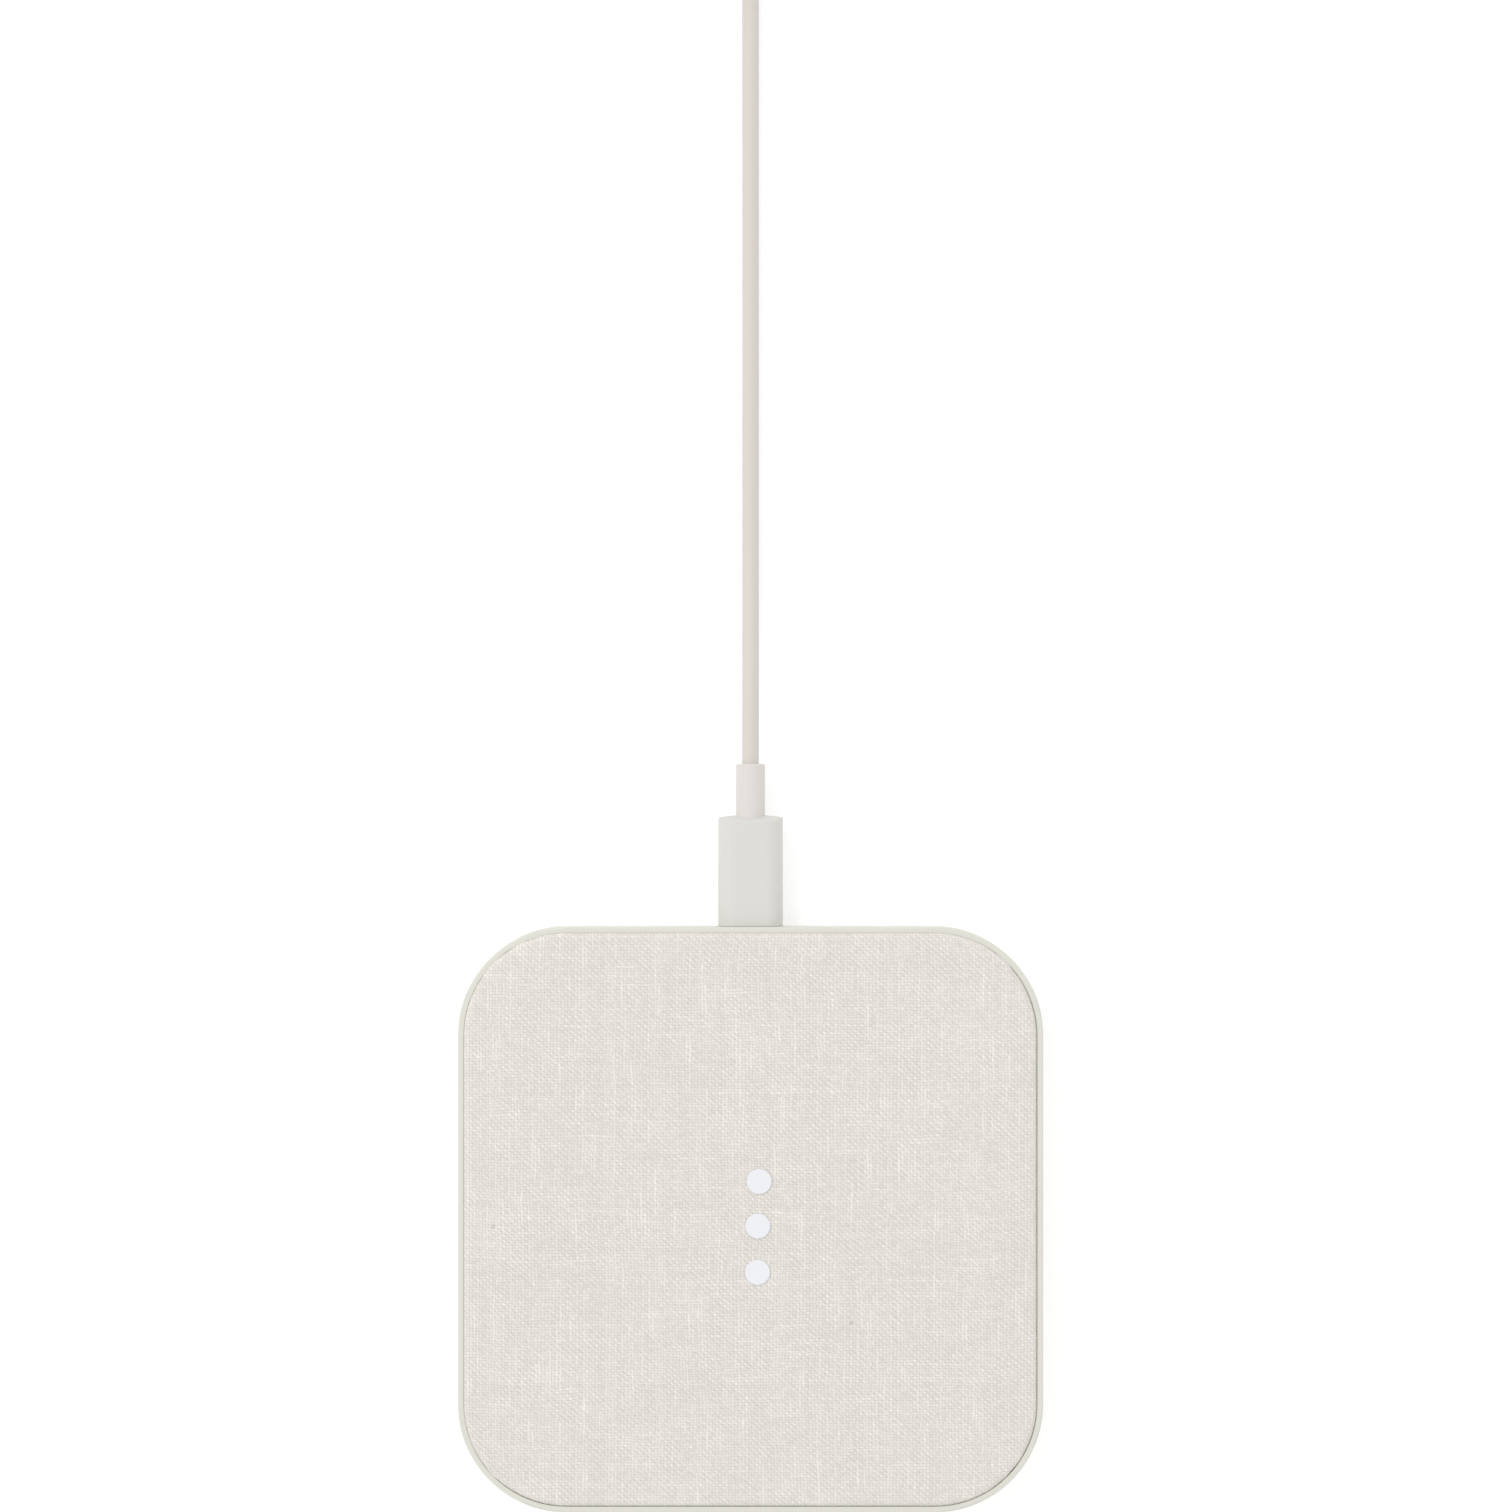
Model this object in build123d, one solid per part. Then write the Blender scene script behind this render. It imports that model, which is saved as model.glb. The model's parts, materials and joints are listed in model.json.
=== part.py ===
from build123d import *
from math import pi, radians, sqrt, tan
import os

# Square wireless charging pad with a stretched linen face, on a USB-C lead.
# Frame: origin at the centre of the underside, +Z up, +Y towards the back, where the port is.
# All lengths are millimetres.

# ---------------------------------------------------------------- driving dimensions

# case
pad_size = 100.0          # side of the square case
corner_radius = 18.5      # its corners, seen from above
pad_height = 11.0         # from the table to the face of the linen
case_wall = 2.4           # side wall below the ledge
case_floor = 1.6          # floor of the case
rim_width = 1.0           # rim round the linen
rim_drop = 0.8            # how far the rim lies below the linen's face
case_foot_round = 1.8     # rounding of the case's lower edge
rim_round = 0.35          # rounding of the rim
blind_floor = 0.4         # plastic left at the closed end of every pilot hole

# foot
foot_thickness = 0.8
foot_proud = 0.4          # how far the foot stands below the case
foot_inset = 8.0          # from the case's side to the foot's edge
film = 0.1                # every adhesive film
foot_gap = 0.1            # between the foot and its recess
foot_edge_round = 0.24

# panel and linen
linen_thickness = 0.45
linen_gap = 0.15          # between the wrapped linen and the rim
linen_hem = 6.0           # how far the linen is folded under the panel
panel_thickness = 2.0
panel_edge_round = 0.7

# alignment dots
dot_diameter = 4.3
dot_height = 0.3
dot_round = 0.14
dot_places = {
    "dot_rear": (1.5, 6.6),
    "dot_middle": (1.25, -1.0),
    "dot_front": (1.2, -8.9),
}

# charging coil
wire_diameter = 1.0
wire_gap = 0.075          # between neighbouring turns
coil_outer_diameter = 44.0
coil_turns = 10
coil_to_recess = 0.6      # between the winding and the wall of its recess
coil_face_gap = 0.05      # between the winding and the film
inner_lead_x = 0.35       # where the wire's inner end comes out, in the middle of the winding
inner_lead_dip = 3.0      # where the inner lead starts to go down, and how far before the winding it is down
dip_bend = 3.0
lead_bend = 1.1
lead_past_ferrite = 2.5   # where the leads turn down to the board
lead_slot_gap = 0.3       # round a lead in the ferrite, the film and the panel
lead_slot_start = 2.0     # from the middle of the coil to the inner lead's slot
ferrite_side = 50.0
ferrite_thickness = 1.0
ferrite_round = 1.5
sensor_diameter = 1.0
sensor_length = 3.2
sensor_end_round = 0.3
sensor_lead_diameter = 0.6
sensor_x = -3.2
sensor_dip = (1.2, 3.6)   # from where to where its lead goes down
sensor_bend = 0.8
sensor_slot_start = -0.5

# screws
screw_inset = 15.0        # from the case's sides to a case screw
case_screw_diameter = 2.0
case_screw_length = 6.0
board_screw_diameter = 1.6
board_screw_length = 2.3
thread_depth = 0.15       # how far a thread cuts into its pilot hole
screw_clearance = 0.15
head_ratio = 1.9          # head diameter to thread diameter
head_height_ratio = 0.45  # head height to thread diameter
head_round_ratio = 0.4    # rounding of the head to its height
recess_ratios = (0.55, 0.16, 0.6)   # cross recess: arm and width to the head's diameter, depth to its height
point_ratio = 0.3         # chamfer at the point to thread diameter
case_post_height = 1.2
post_wall = 1.0           # round a screw's head in the case
board_post_wall = 1.4
boss_wall = 1.7

# circuit board
board_width = 60.0
board_depth = 38.0
board_thickness = 1.0
board_standoff = 0.7
board_edge_gap = 0.5      # to the case's back wall
board_screw_inset = 3.5
board_corner_radius = 1.5

# components on the board: size, bevel, and places as x and the distance from the board's back edge
components = {
    "charge_controller": ((6.0, 6.0, 0.9), 0.12, [(9.0, 29.5)]),
    "bridge_mosfets": ((3.3, 3.3, 1.0), 0.12, [(14.6, 26.6), (14.6, 31.0), (19.0, 26.6), (19.0, 31.0)]),
    "resonant_capacitors": ((2.5, 3.2, 2.2), 0.15, [(12.0, 10.5), (15.4, 10.5), (18.8, 10.5), (22.2, 10.5)]),
    "input_inductor": ((5.0, 5.0, 2.0), 0.6, [(-13.5, 11.0)]),
    "voltage_regulator": ((3.0, 1.7, 1.1), 0.12, [(-13.0, 29.0)]),
    "ceramic_capacitors": (
        (1.25, 2.0, 0.9),
        0.1,
        [(-21.5, 17.0), (-18.5, 17.0), (-8.0, 17.0), (5.0, 17.0), (8.0, 17.0)]
        + [(-19.0, 33.8), (-16.5, 33.8), (-9.5, 33.8)],
    ),
    "chip_resistors": (
        (0.8, 1.6, 0.45),
        0.06,
        [(-20.0, 25.0), (-18.0, 25.0), (-16.0, 25.0), (-8.0, 25.0)]
        + [(1.5, 33.8), (3.5, 33.8), (21.8, 33.8), (23.4, 33.8)],
    ),
}

# usb-c port and plug, standard sizes
port_inner_width = 8.34
port_inner_height = 2.56
port_metal = 0.3
port_length = 8.0
port_block = 1.2
port_setback = 0.3        # from the case's outside to the port's mouth
port_opening_gap = 0.3
tongue_width = 6.69
tongue_thickness = 0.7
tongue_length = 4.6
tongue_bevel = 0.15
plug_metal_width = 8.25
plug_metal_height = 2.4
plug_metal_thickness = 0.2
plug_metal_length = 6.65
plug_metal_embedded = 4.0
plug_slot_width = 6.95
plug_slot_height = 1.1
plug_slot_depth = 5.2
contact_count = 12
contact_pitch = 0.5
contact_width = 0.25
contact_setback = 0.4      # from the tongue's tip to the contacts
port_contact_thickness = 0.05
port_contact_foot = (1.0, 0.6)
plug_contact_thickness = 0.1
plug_contact_setback = 0.5
plug_insert_setback = 0.1
paddle_board_size = (7.0, 8.0, 0.8)
overmould_width = 11.1
overmould_height = 6.2
overmould_length = 19.1
overmould_side_radius = 2.95
overmould_gap = 0.03      # between the overmould and the case
overmould_bulge = 1.0     # how far the rear face stands out between its upper and lower edge
overmould_crown = 0.45    # how far the middle of the rear face stands out past its left and right end
overmould_rear_round = 0.25
overmould_front_round = 0.06
relief_diameter = 5.0
relief_length = 8.7
relief_embedded = 2.0
relief_round = 0.35

# cord
cord_diameter = 2.9
bend_share = 0.45         # of the shorter run at a corner of the route
coil_columns = 3          # turns beside each other
coil_layers = 4           # turns on each other
coil_mean_radius = 17.15
tie_thickness = 0.8
tie_width = 9.0
tie_slack = 0.8           # between the winding's sides and the tie
tie_gap = 0.02            # between the tie and the winding elsewhere

# usb-a plug, standard sizes
usb_a_width = 12.0
usb_a_height = 4.5
usb_a_metal = 0.3
usb_a_metal_length = 18.75
usb_a_metal_embedded = 4.0
usb_a_insert_height = 1.84
usb_a_housing_width = 15.7
usb_a_housing_height = 7.0
usb_a_housing_length = 21.0
usb_a_housing_round = 1.6
usb_a_rear_round = 1.44
usb_a_front_round = 0.4
usb_a_metal_round = (0.5, 0.2)   # of the shell's outside and inside
usb_a_insert_gap = 0.2
usb_a_insert_setback = 0.3
usb_a_block_length = 2.0  # of the full-height part of the insert, past the housing
usb_a_contact_rows = ((-3.5, 7.4), (-1.0, 6.4), (1.0, 6.4), (3.5, 7.4))   # x and length
usb_a_contact_size = (1.0, 0.1)
usb_a_contact_setback = 1.2
latch_window = (2.2, 2.6)
latch_window_offset = 2.85
latch_window_setback = 5.2

# ---------------------------------------------------------------- levels and places worked out

case_bottom = foot_proud
foot_recess_top = foot_thickness + film
floor_top = case_bottom + case_floor
rim_top = pad_height - rim_drop
panel_top = pad_height - linen_thickness - film
panel_bottom = panel_top - panel_thickness
ledge = panel_bottom - linen_thickness

half_pad = pad_size / 2
pocket_size = pad_size - 2 * rim_width
pocket_radius = corner_radius - rim_width
cavity_size = pad_size - 2 * case_wall
cavity_radius = corner_radius - case_wall
linen_size = pocket_size - 2 * linen_gap
linen_radius = pocket_radius - linen_gap
panel_size = linen_size - 2 * linen_thickness
panel_radius = linen_radius - linen_thickness

screw_at = half_pad - screw_inset
screw_corners = [(sx * screw_at, sy * screw_at) for sx in (-1, 1) for sy in (-1, 1)]
post_top = floor_top + case_post_height
head_top = foot_recess_top + case_screw_diameter * head_height_ratio

board_bottom = floor_top + board_standoff
board_top = board_bottom + board_thickness
board_back = cavity_size / 2 - board_edge_gap
board_middle = board_back - board_depth / 2
board_screw_places = [
    (sx * (board_width / 2 - board_screw_inset), board_middle + sy * (board_depth / 2 - board_screw_inset))
    for sx in (-1, 1)
    for sy in (-1, 1)
]

port_outer_width = port_inner_width + 2 * port_metal
port_outer_height = port_inner_height + 2 * port_metal
port_level = board_top + port_outer_height / 2
port_mouth = half_pad - port_setback
port_rear = port_mouth - port_length
port_block_front = port_rear + port_block

overmould_front = half_pad + overmould_gap
overmould_rear = overmould_front + overmould_length
plug_tip = overmould_front - plug_metal_length
relief_front = overmould_rear - relief_embedded
relief_rear = overmould_rear + relief_length

coil_level = panel_bottom + wire_diameter / 2 + coil_face_gap
recess_top = coil_level + wire_diameter / 2
ferrite_top = panel_bottom - film
ferrite_bottom = ferrite_top - ferrite_thickness
under_coil = ferrite_top - wire_diameter / 2
lead_down = ferrite_side / 2 + lead_past_ferrite
winding_start = (coil_outer_diameter - wire_diameter) / 2
winding_pitch = wire_diameter + wire_gap
winding_end = winding_start - coil_turns * winding_pitch

on_table = cord_diameter / 2
coil_bottom = tie_thickness
coil_height = coil_layers * cord_diameter
coil_width = coil_columns * cord_diameter
coil_outer_turn = coil_mean_radius + (coil_columns - 1) / 2 * cord_diameter
coil_entry_level = coil_bottom + cord_diameter / 2
coil_exit_level = coil_bottom + coil_height - cord_diameter / 2
usb_a_level = usb_a_housing_height / 2


# ---------------------------------------------------------------- helpers

def plate(width, depth, radius, bottom, top):
    """Flat slab with rounded corners between two levels, centred on the Z axis."""
    return extrude(Plane.XY.offset(bottom) * RectangleRounded(width, depth, radius), top - bottom)


def block(x, y, z):
    """Box between (low, high) pairs along each axis."""
    middle = Pos((x[0] + x[1]) / 2, (y[0] + y[1]) / 2, (z[0] + z[1]) / 2)
    return middle * Box(x[1] - x[0], y[1] - y[0], z[1] - z[0])


def post(place, radius, bottom, top):
    """Upright cylinder."""
    return Pos(place[0], place[1], (bottom + top) / 2) * Cylinder(radius, top - bottom)


def oval_bar(width, height, start, end, level):
    """Bar with fully round sides along Y."""
    flat = Circle(height / 2) if width == height else SlotOverall(width, height)
    return extrude(Plane.XZ.offset(-start) * Pos(0, level) * flat, -(end - start))


def round_bar(width, height, radius, start, end, level):
    """Bar with rounded corners along Y."""
    outline = Plane.XZ.offset(-start) * Pos(0, level) * RectangleRounded(width, height, radius)
    return extrude(outline, -(end - start))


def edges_at(shape, axis, low):
    """All edges of the lowest or highest group along an axis."""
    groups = shape.edges().group_by(axis)
    return groups[0] if low else groups[-1]


def together(solids):
    """Several separate solids in one node."""
    return Compound(children=list(solids))


def wire_along(points, bends, diameter):
    """Round wire along straight runs joined by tangent arcs."""
    path = FilletPolyline(*points, radius=bends)
    first = Vector(*points[0])
    section = Plane(origin=first, z_dir=Vector(*points[1]) - first) * Circle(diameter / 2)
    return sweep(section, path=path)


def cross_recess(diameter, height):
    """Cross recess for a head of this size, opening downwards at level 0."""
    arm = diameter * recess_ratios[0]
    slot = diameter * recess_ratios[1]
    depth = height * recess_ratios[2]
    return Pos(0, 0, depth / 2) * (Box(arm, slot, depth) + Box(slot, arm, depth))


def screw(place, diameter, length, under_head, points_up):
    """Self-tapping screw with a pan head; under_head is the level of the head's seat."""
    head_radius = diameter * head_ratio / 2
    head_height = diameter * head_height_ratio
    head = Pos(0, 0, -head_height / 2) * Cylinder(head_radius, head_height)
    head = fillet(head.edges().group_by(Axis.Z)[0], head_height * head_round_ratio)
    head -= Pos(0, 0, -head_height) * cross_recess(diameter * head_ratio, head_height)
    shank = Pos(0, 0, length / 2) * Cylinder(diameter / 2, length)
    shank = chamfer(shank.edges().group_by(Axis.Z)[-1], diameter * point_ratio)
    whole = head + shank
    if not points_up:
        whole = Rot(180, 0, 0) * whole
    return Pos(place[0], place[1], under_head) * whole


# ---------------------------------------------------------------- case

def case_tray():
    body = plate(pad_size, pad_size, corner_radius, case_bottom, rim_top)
    body = fillet(edges_at(body, Axis.Z, True), case_foot_round)
    body = fillet(edges_at(body, Axis.Z, False), rim_round)
    body -= plate(pocket_size, pocket_size, pocket_radius, ledge, rim_top + 1)
    body -= plate(cavity_size, cavity_size, cavity_radius, floor_top, ledge + 1)
    body -= plate(*foot_plan(foot_gap), case_bottom - 1, foot_recess_top)
    head_radius = case_screw_diameter * head_ratio / 2 + screw_clearance
    for place in screw_corners:
        body += post(place, head_radius + post_wall, floor_top, post_top)
        body -= post(place, head_radius, case_bottom, head_top)
        body -= post(place, case_screw_diameter / 2 + screw_clearance, case_bottom, post_top + 1)
    pilot = board_screw_diameter / 2 - thread_depth
    for place in board_screw_places:
        body += post(place, pilot + board_post_wall, floor_top, board_bottom)
        body -= post(place, pilot, foot_recess_top + blind_floor, board_bottom + 1)
    opening = oval_bar(
        port_outer_width + 2 * port_opening_gap,
        port_outer_height + 2 * port_opening_gap,
        cavity_size / 2 - 1,
        half_pad + 1,
        port_level,
    )
    return body - opening


def foot_plan(gap):
    side = pad_size - 2 * foot_inset + 2 * gap
    return side, side, corner_radius - foot_inset + gap


def non_slip_foot():
    foot = plate(*foot_plan(0), 0, foot_thickness)
    return fillet(edges_at(foot, Axis.Z, True), foot_edge_round)


def foot_adhesive():
    return plate(*foot_plan(0), foot_thickness, foot_recess_top)


def case_screws():
    return together(
        screw(place, case_screw_diameter, case_screw_length, head_top, True) for place in screw_corners
    )


# ---------------------------------------------------------------- panel and linen

def panel_blank(bottom, top, grow):
    side = panel_size + 2 * grow
    blank = plate(side, side, panel_radius + grow, bottom, top)
    return fillet(edges_at(blank, Axis.Z, False), panel_edge_round + grow)


def top_panel():
    panel = panel_blank(panel_bottom, panel_top, 0)
    panel -= post((0, 0), coil_outer_diameter / 2 + coil_to_recess, panel_bottom - 1, recess_top)
    half_slot = wire_diameter / 2 + lead_slot_gap
    panel -= block(
        (winding_start - half_slot, winding_start + half_slot),
        (0, lead_down + half_slot + lead_bend),
        (panel_bottom - 1, recess_top),
    )
    pilot = case_screw_diameter / 2 - thread_depth
    for place in screw_corners:
        panel += post(place, pilot + boss_wall, post_top, panel_bottom)
        panel -= post(place, pilot, post_top - 1, panel_bottom + blind_floor)
    return panel


def linen_adhesive():
    side = panel_size - 2 * panel_edge_round
    return plate(side, side, panel_radius - panel_edge_round, panel_top, panel_top + film)


def linen_cover():
    outside = panel_blank(ledge, pad_height, linen_thickness)
    inside = panel_blank(panel_bottom, panel_top + film, 0)
    window = panel_size - 2 * linen_hem
    return outside - inside - plate(window, window, panel_radius - linen_hem, ledge - 1, panel_bottom + 1)


def alignment_dot(place):
    dot = post(place, dot_diameter / 2, pad_height, pad_height + dot_height)
    return fillet(edges_at(dot, Axis.Z, False), dot_round)


# ---------------------------------------------------------------- charging coil

def charging_coil():
    """Flat spiral of half circles, with its inner end curled back into the middle."""
    stops = [(-1) ** turn * (winding_start - turn * winding_pitch / 2) for turn in range(2 * coil_turns + 1)]
    stops.append(inner_lead_x)
    arcs = []
    for turn in range(len(stops) - 1):
        start = (stops[turn], 0, coil_level)
        end = (stops[turn + 1], 0, coil_level)
        middle_x = (stops[turn] + stops[turn + 1]) / 2
        bulge = abs(stops[turn] - stops[turn + 1]) / 2
        side = -1 if turn % 2 == 0 else 1
        arcs.append(ThreePointArc(start, (middle_x, side * bulge, coil_level), end))
    section = Plane(origin=(winding_start, 0, coil_level), z_dir=(0, -1, 0)) * Circle(wire_diameter / 2)
    return sweep(section, path=Wire(arcs))


def coil_leads():
    outer = [
        (winding_start, 0, coil_level),
        (winding_start, lead_down, coil_level),
        (winding_start, lead_down, board_top),
    ]
    dip_end = winding_end - inner_lead_dip
    inner = [
        (inner_lead_x, 0, coil_level),
        (inner_lead_x, inner_lead_dip, coil_level),
        (inner_lead_x, dip_end, under_coil),
        (inner_lead_x, lead_down, under_coil),
        (inner_lead_x, lead_down, board_top),
    ]
    return together([
        wire_along(outer, [lead_bend], wire_diameter),
        wire_along(inner, [dip_bend, dip_bend, lead_bend], wire_diameter),
    ])


def lead_slots(bottom, top):
    """Slots for the inner lead and the sensor's lead, from the middle of the coil to the back."""
    back = ferrite_side / 2 + 1
    slots = []
    for x, start, diameter in (
        (inner_lead_x, lead_slot_start, wire_diameter),
        (sensor_x, sensor_slot_start, sensor_lead_diameter),
    ):
        half_slot = diameter / 2 + lead_slot_gap
        slots.append(block((x - half_slot, x + half_slot), (start, back), (bottom - 1, top + 1)))
    return slots[0] + slots[1]


def coil_film():
    side = ferrite_side
    return plate(side, side, ferrite_round, ferrite_top, panel_bottom) - lead_slots(ferrite_top, panel_bottom)


def ferrite_shield():
    side = ferrite_side
    slab = plate(side, side, ferrite_round, ferrite_bottom, ferrite_top)
    return slab - lead_slots(ferrite_bottom, ferrite_top)


def temperature_sensor():
    """Glass bead that lies on the film, with its pair of wires running back to the board."""
    lead_level = ferrite_top - sensor_lead_diameter / 2
    bead_level = panel_bottom + sensor_diameter / 2
    bead = Rot(90, 0, 0) * Cylinder(sensor_diameter / 2, sensor_length)
    bead = Pos(sensor_x, -sensor_length / 2, bead_level) * bead
    bead = fillet(bead.edges(), sensor_end_round)
    route = [
        (sensor_x, -sensor_length / 2, bead_level),
        (sensor_x, sensor_dip[0], bead_level),
        (sensor_x, sensor_dip[1], lead_level),
        (sensor_x, lead_down, lead_level),
        (sensor_x, lead_down, board_top),
    ]
    return bead + wire_along(route, [sensor_bend, sensor_bend, lead_bend], sensor_lead_diameter)


# ---------------------------------------------------------------- circuit board

def circuit_board():
    board = plate(board_width, board_depth, board_corner_radius, board_bottom, board_top)
    board = Pos(0, board_middle) * board
    for place in board_screw_places:
        board -= post(place, board_screw_diameter / 2 + screw_clearance, board_bottom - 1, board_top + 1)
    return board


def board_screws():
    return together(
        screw(place, board_screw_diameter, board_screw_length, board_top, False)
        for place in board_screw_places
    )


def chip(x, back, size, bevel):
    """Component on the board; back is the distance from the board's back edge to its middle."""
    body = block(
        (x - size[0] / 2, x + size[0] / 2),
        (board_back - back - size[1] / 2, board_back - back + size[1] / 2),
        (board_top, board_top + size[2]),
    )
    return chamfer(edges_at(body, Axis.Z, False), bevel)


def board_parts(name):
    size, bevel, places = components[name]
    return together(chip(x, back, size, bevel) for x, back in places)


# ---------------------------------------------------------------- usb-c port

def usb_c_receptacle_shell():
    shell = oval_bar(port_outer_width, port_outer_height, port_rear, port_mouth, port_level)
    return shell - oval_bar(port_inner_width, port_inner_height, port_rear - 1, port_mouth + 1, port_level)


def usb_c_receptacle_tongue():
    base = oval_bar(port_inner_width, port_inner_height, port_rear, port_block_front, port_level)
    tip = port_block_front + tongue_length
    tongue = block(
        (-tongue_width / 2, tongue_width / 2),
        (port_rear, tip),
        (port_level - tongue_thickness / 2, port_level + tongue_thickness / 2),
    )
    tongue = chamfer(tongue.edges().group_by(Axis.Y)[-1], tongue_bevel)
    return base + tongue


def contact_rows(start, end, faces):
    """Rows of contacts along Y; each face is the (low, high) level of one row."""
    strips = []
    for number in range(contact_count):
        x = (number - (contact_count - 1) / 2) * contact_pitch
        for face in faces:
            strips.append(block((x - contact_width / 2, x + contact_width / 2), (start, end), face))
    return strips


def usb_c_receptacle_contacts():
    up = port_level + tongue_thickness / 2
    down = port_level - tongue_thickness / 2
    faces = [(up, up + port_contact_thickness), (down - port_contact_thickness, down)]
    strips = contact_rows(port_block_front, port_block_front + tongue_length - contact_setback, faces)
    foot_length, foot_height = port_contact_foot
    feet = contact_rows(port_rear - foot_length, port_rear, [(board_top, board_top + foot_height)])
    return together(strips + feet)


# ---------------------------------------------------------------- usb-c plug

def usb_c_plug_shell():
    rear = overmould_front + plug_metal_embedded
    shell = oval_bar(plug_metal_width, plug_metal_height, plug_tip, rear, port_level)
    inner_width = plug_metal_width - 2 * plug_metal_thickness
    inner_height = plug_metal_height - 2 * plug_metal_thickness
    return shell - oval_bar(inner_width, inner_height, plug_tip - 1, rear + 1, port_level)


def usb_c_plug_insert():
    rear = overmould_front + plug_metal_embedded
    inner_width = plug_metal_width - 2 * plug_metal_thickness
    inner_height = plug_metal_height - 2 * plug_metal_thickness
    insert = oval_bar(inner_width, inner_height, plug_tip + plug_insert_setback, rear, port_level)
    slot = block(
        (-plug_slot_width / 2, plug_slot_width / 2),
        (plug_tip - 1, plug_tip + plug_slot_depth),
        (port_level - plug_slot_height / 2, port_level + plug_slot_height / 2),
    )
    return insert - slot


def usb_c_plug_contacts():
    up = port_level + plug_slot_height / 2
    down = port_level - plug_slot_height / 2
    faces = [(up - plug_contact_thickness, up), (down, down + plug_contact_thickness)]
    return together(contact_rows(plug_tip + plug_contact_setback, plug_tip + plug_slot_depth, faces))


def paddle_board():
    start = overmould_front + plug_metal_embedded
    half = paddle_board_size[0] / 2
    return block(
        (-half, half),
        (start, start + paddle_board_size[1]),
        (port_level - paddle_board_size[2] / 2, port_level + paddle_board_size[2] / 2),
    )


def bulge_radius(chord, rise):
    return (chord ** 2 / 4 + rise ** 2) / (2 * rise)


def rear_dome():
    """All that lies before the overmould's rear face, which bulges up and down and from side to side."""
    upright = bulge_radius(overmould_height, overmould_bulge)
    across = bulge_radius(overmould_width, overmould_crown)
    side = overmould_width / 2 + 1
    axis_y = overmould_rear - upright
    side_y = overmould_rear - across + sqrt(across ** 2 - side ** 2)
    face = make_face([
        ThreePointArc((-side, side_y), (0, overmould_rear), (side, side_y)),
        Polyline((side, side_y), (side, axis_y), (-side, axis_y), (-side, side_y)),
    ])
    barrel = revolve(Pos(0, 0, port_level) * face, Axis((0, axis_y, port_level), (1, 0, 0)))
    straight = block(
        (-side, side),
        (overmould_front - 1, axis_y),
        (port_level - overmould_height, port_level + overmould_height),
    )
    return barrel + straight


def usb_c_housing():
    housing = round_bar(
        overmould_width, overmould_height, overmould_side_radius, overmould_front, overmould_rear, port_level
    )
    housing = fillet(housing.edges().group_by(Axis.Y)[0], overmould_front_round)
    housing &= rear_dome()
    rear_edges = housing.edges().filter_by_position(
        Axis.Y, overmould_rear - overmould_bulge - overmould_crown, overmould_rear + 0.01
    )
    housing = fillet(rear_edges, overmould_rear_round)
    rear = overmould_front + plug_metal_embedded
    housing -= oval_bar(plug_metal_width, plug_metal_height, overmould_front - 1, rear, port_level)
    socket = oval_bar(relief_diameter, relief_diameter, relief_front, overmould_rear + 1, port_level)
    return housing - paddle_board() - socket


def relief(start, end, level, first_at_start):
    """Plain round sleeve along Y; its outer end is rounded."""
    sleeve = Pos(0, (start + end) / 2, level) * Rot(90, 0, 0) * Cylinder(relief_diameter / 2, end - start)
    group = 0 if first_at_start else -1
    return fillet(sleeve.edges().group_by(Axis.Y)[group], relief_round)


# ---------------------------------------------------------------- cord

# Route of the cord from the strain relief to the winding: x, y past the relief, level.
lead_route = [
    (0, 0, port_level),
    (0, 12, port_level),
    (0, 34, on_table),
    (0, 130, on_table),
    (0, 162, coil_entry_level),
]

# Route from the winding to the far plug: x, y past the winding's centre, level.
tail_route = [
    (0, 0, coil_exit_level),
    (0, 11, coil_exit_level),
    (0, 33, usb_a_level),
    (0, 45, usb_a_level),
]

coil_centre = (-coil_outer_turn, relief_rear + lead_route[-1][1])
tail_end = coil_centre[1] + tail_route[-1][1]


def from_here(route, start):
    """Route points with their y counted from start."""
    return [(x, start + y, z) for x, y, z in route]


def corner_radii(points):
    """Arc at each corner, so that it takes bend_share of the shorter run."""
    radii = []
    for before, here, after in zip(points, points[1:], points[2:]):
        run_in = Vector(*here) - Vector(*before)
        run_out = Vector(*after) - Vector(*here)
        turn = radians(run_in.get_angle(run_out))
        radii.append(bend_share * min(run_in.length, run_out.length) / tan(turn / 2))
    return radii


def cord_run(name, route, start):
    points = from_here(route, start)
    bends = corner_radii(points)
    path = FilletPolyline(*points, radius=bends)
    heading = Vector(*points[1]) - Vector(*points[0])
    section = Plane(origin=points[0], z_dir=heading) * Circle(cord_diameter / 2)
    tube = sweep(section, path=path)
    ideal = path.length * pi * cord_diameter ** 2 / 4
    print(name, "length", round(path.length, 1), "radii", [round(bend, 1) for bend in bends])
    print(name, "volume", round(tube.volume, 1), "section times length", round(ideal, 1))
    return tube


def coil_ring(grow):
    """Closed ring that holds the wound cord."""
    outline = Plane.XZ * Pos(coil_mean_radius, coil_bottom + coil_height / 2) * RectangleRounded(
        coil_width + 2 * grow, coil_height + 2 * grow, on_table + grow
    )
    return Pos(*coil_centre, 0) * revolve(outline, Axis.Z)


def cord_coil():
    turns = [
        2 * pi * (coil_mean_radius + (column - (coil_columns - 1) / 2) * cord_diameter)
        for column in range(coil_columns)
    ]
    print("cord_coil length", round(coil_layers * sum(turns), 1))
    return coil_ring(0)


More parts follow.
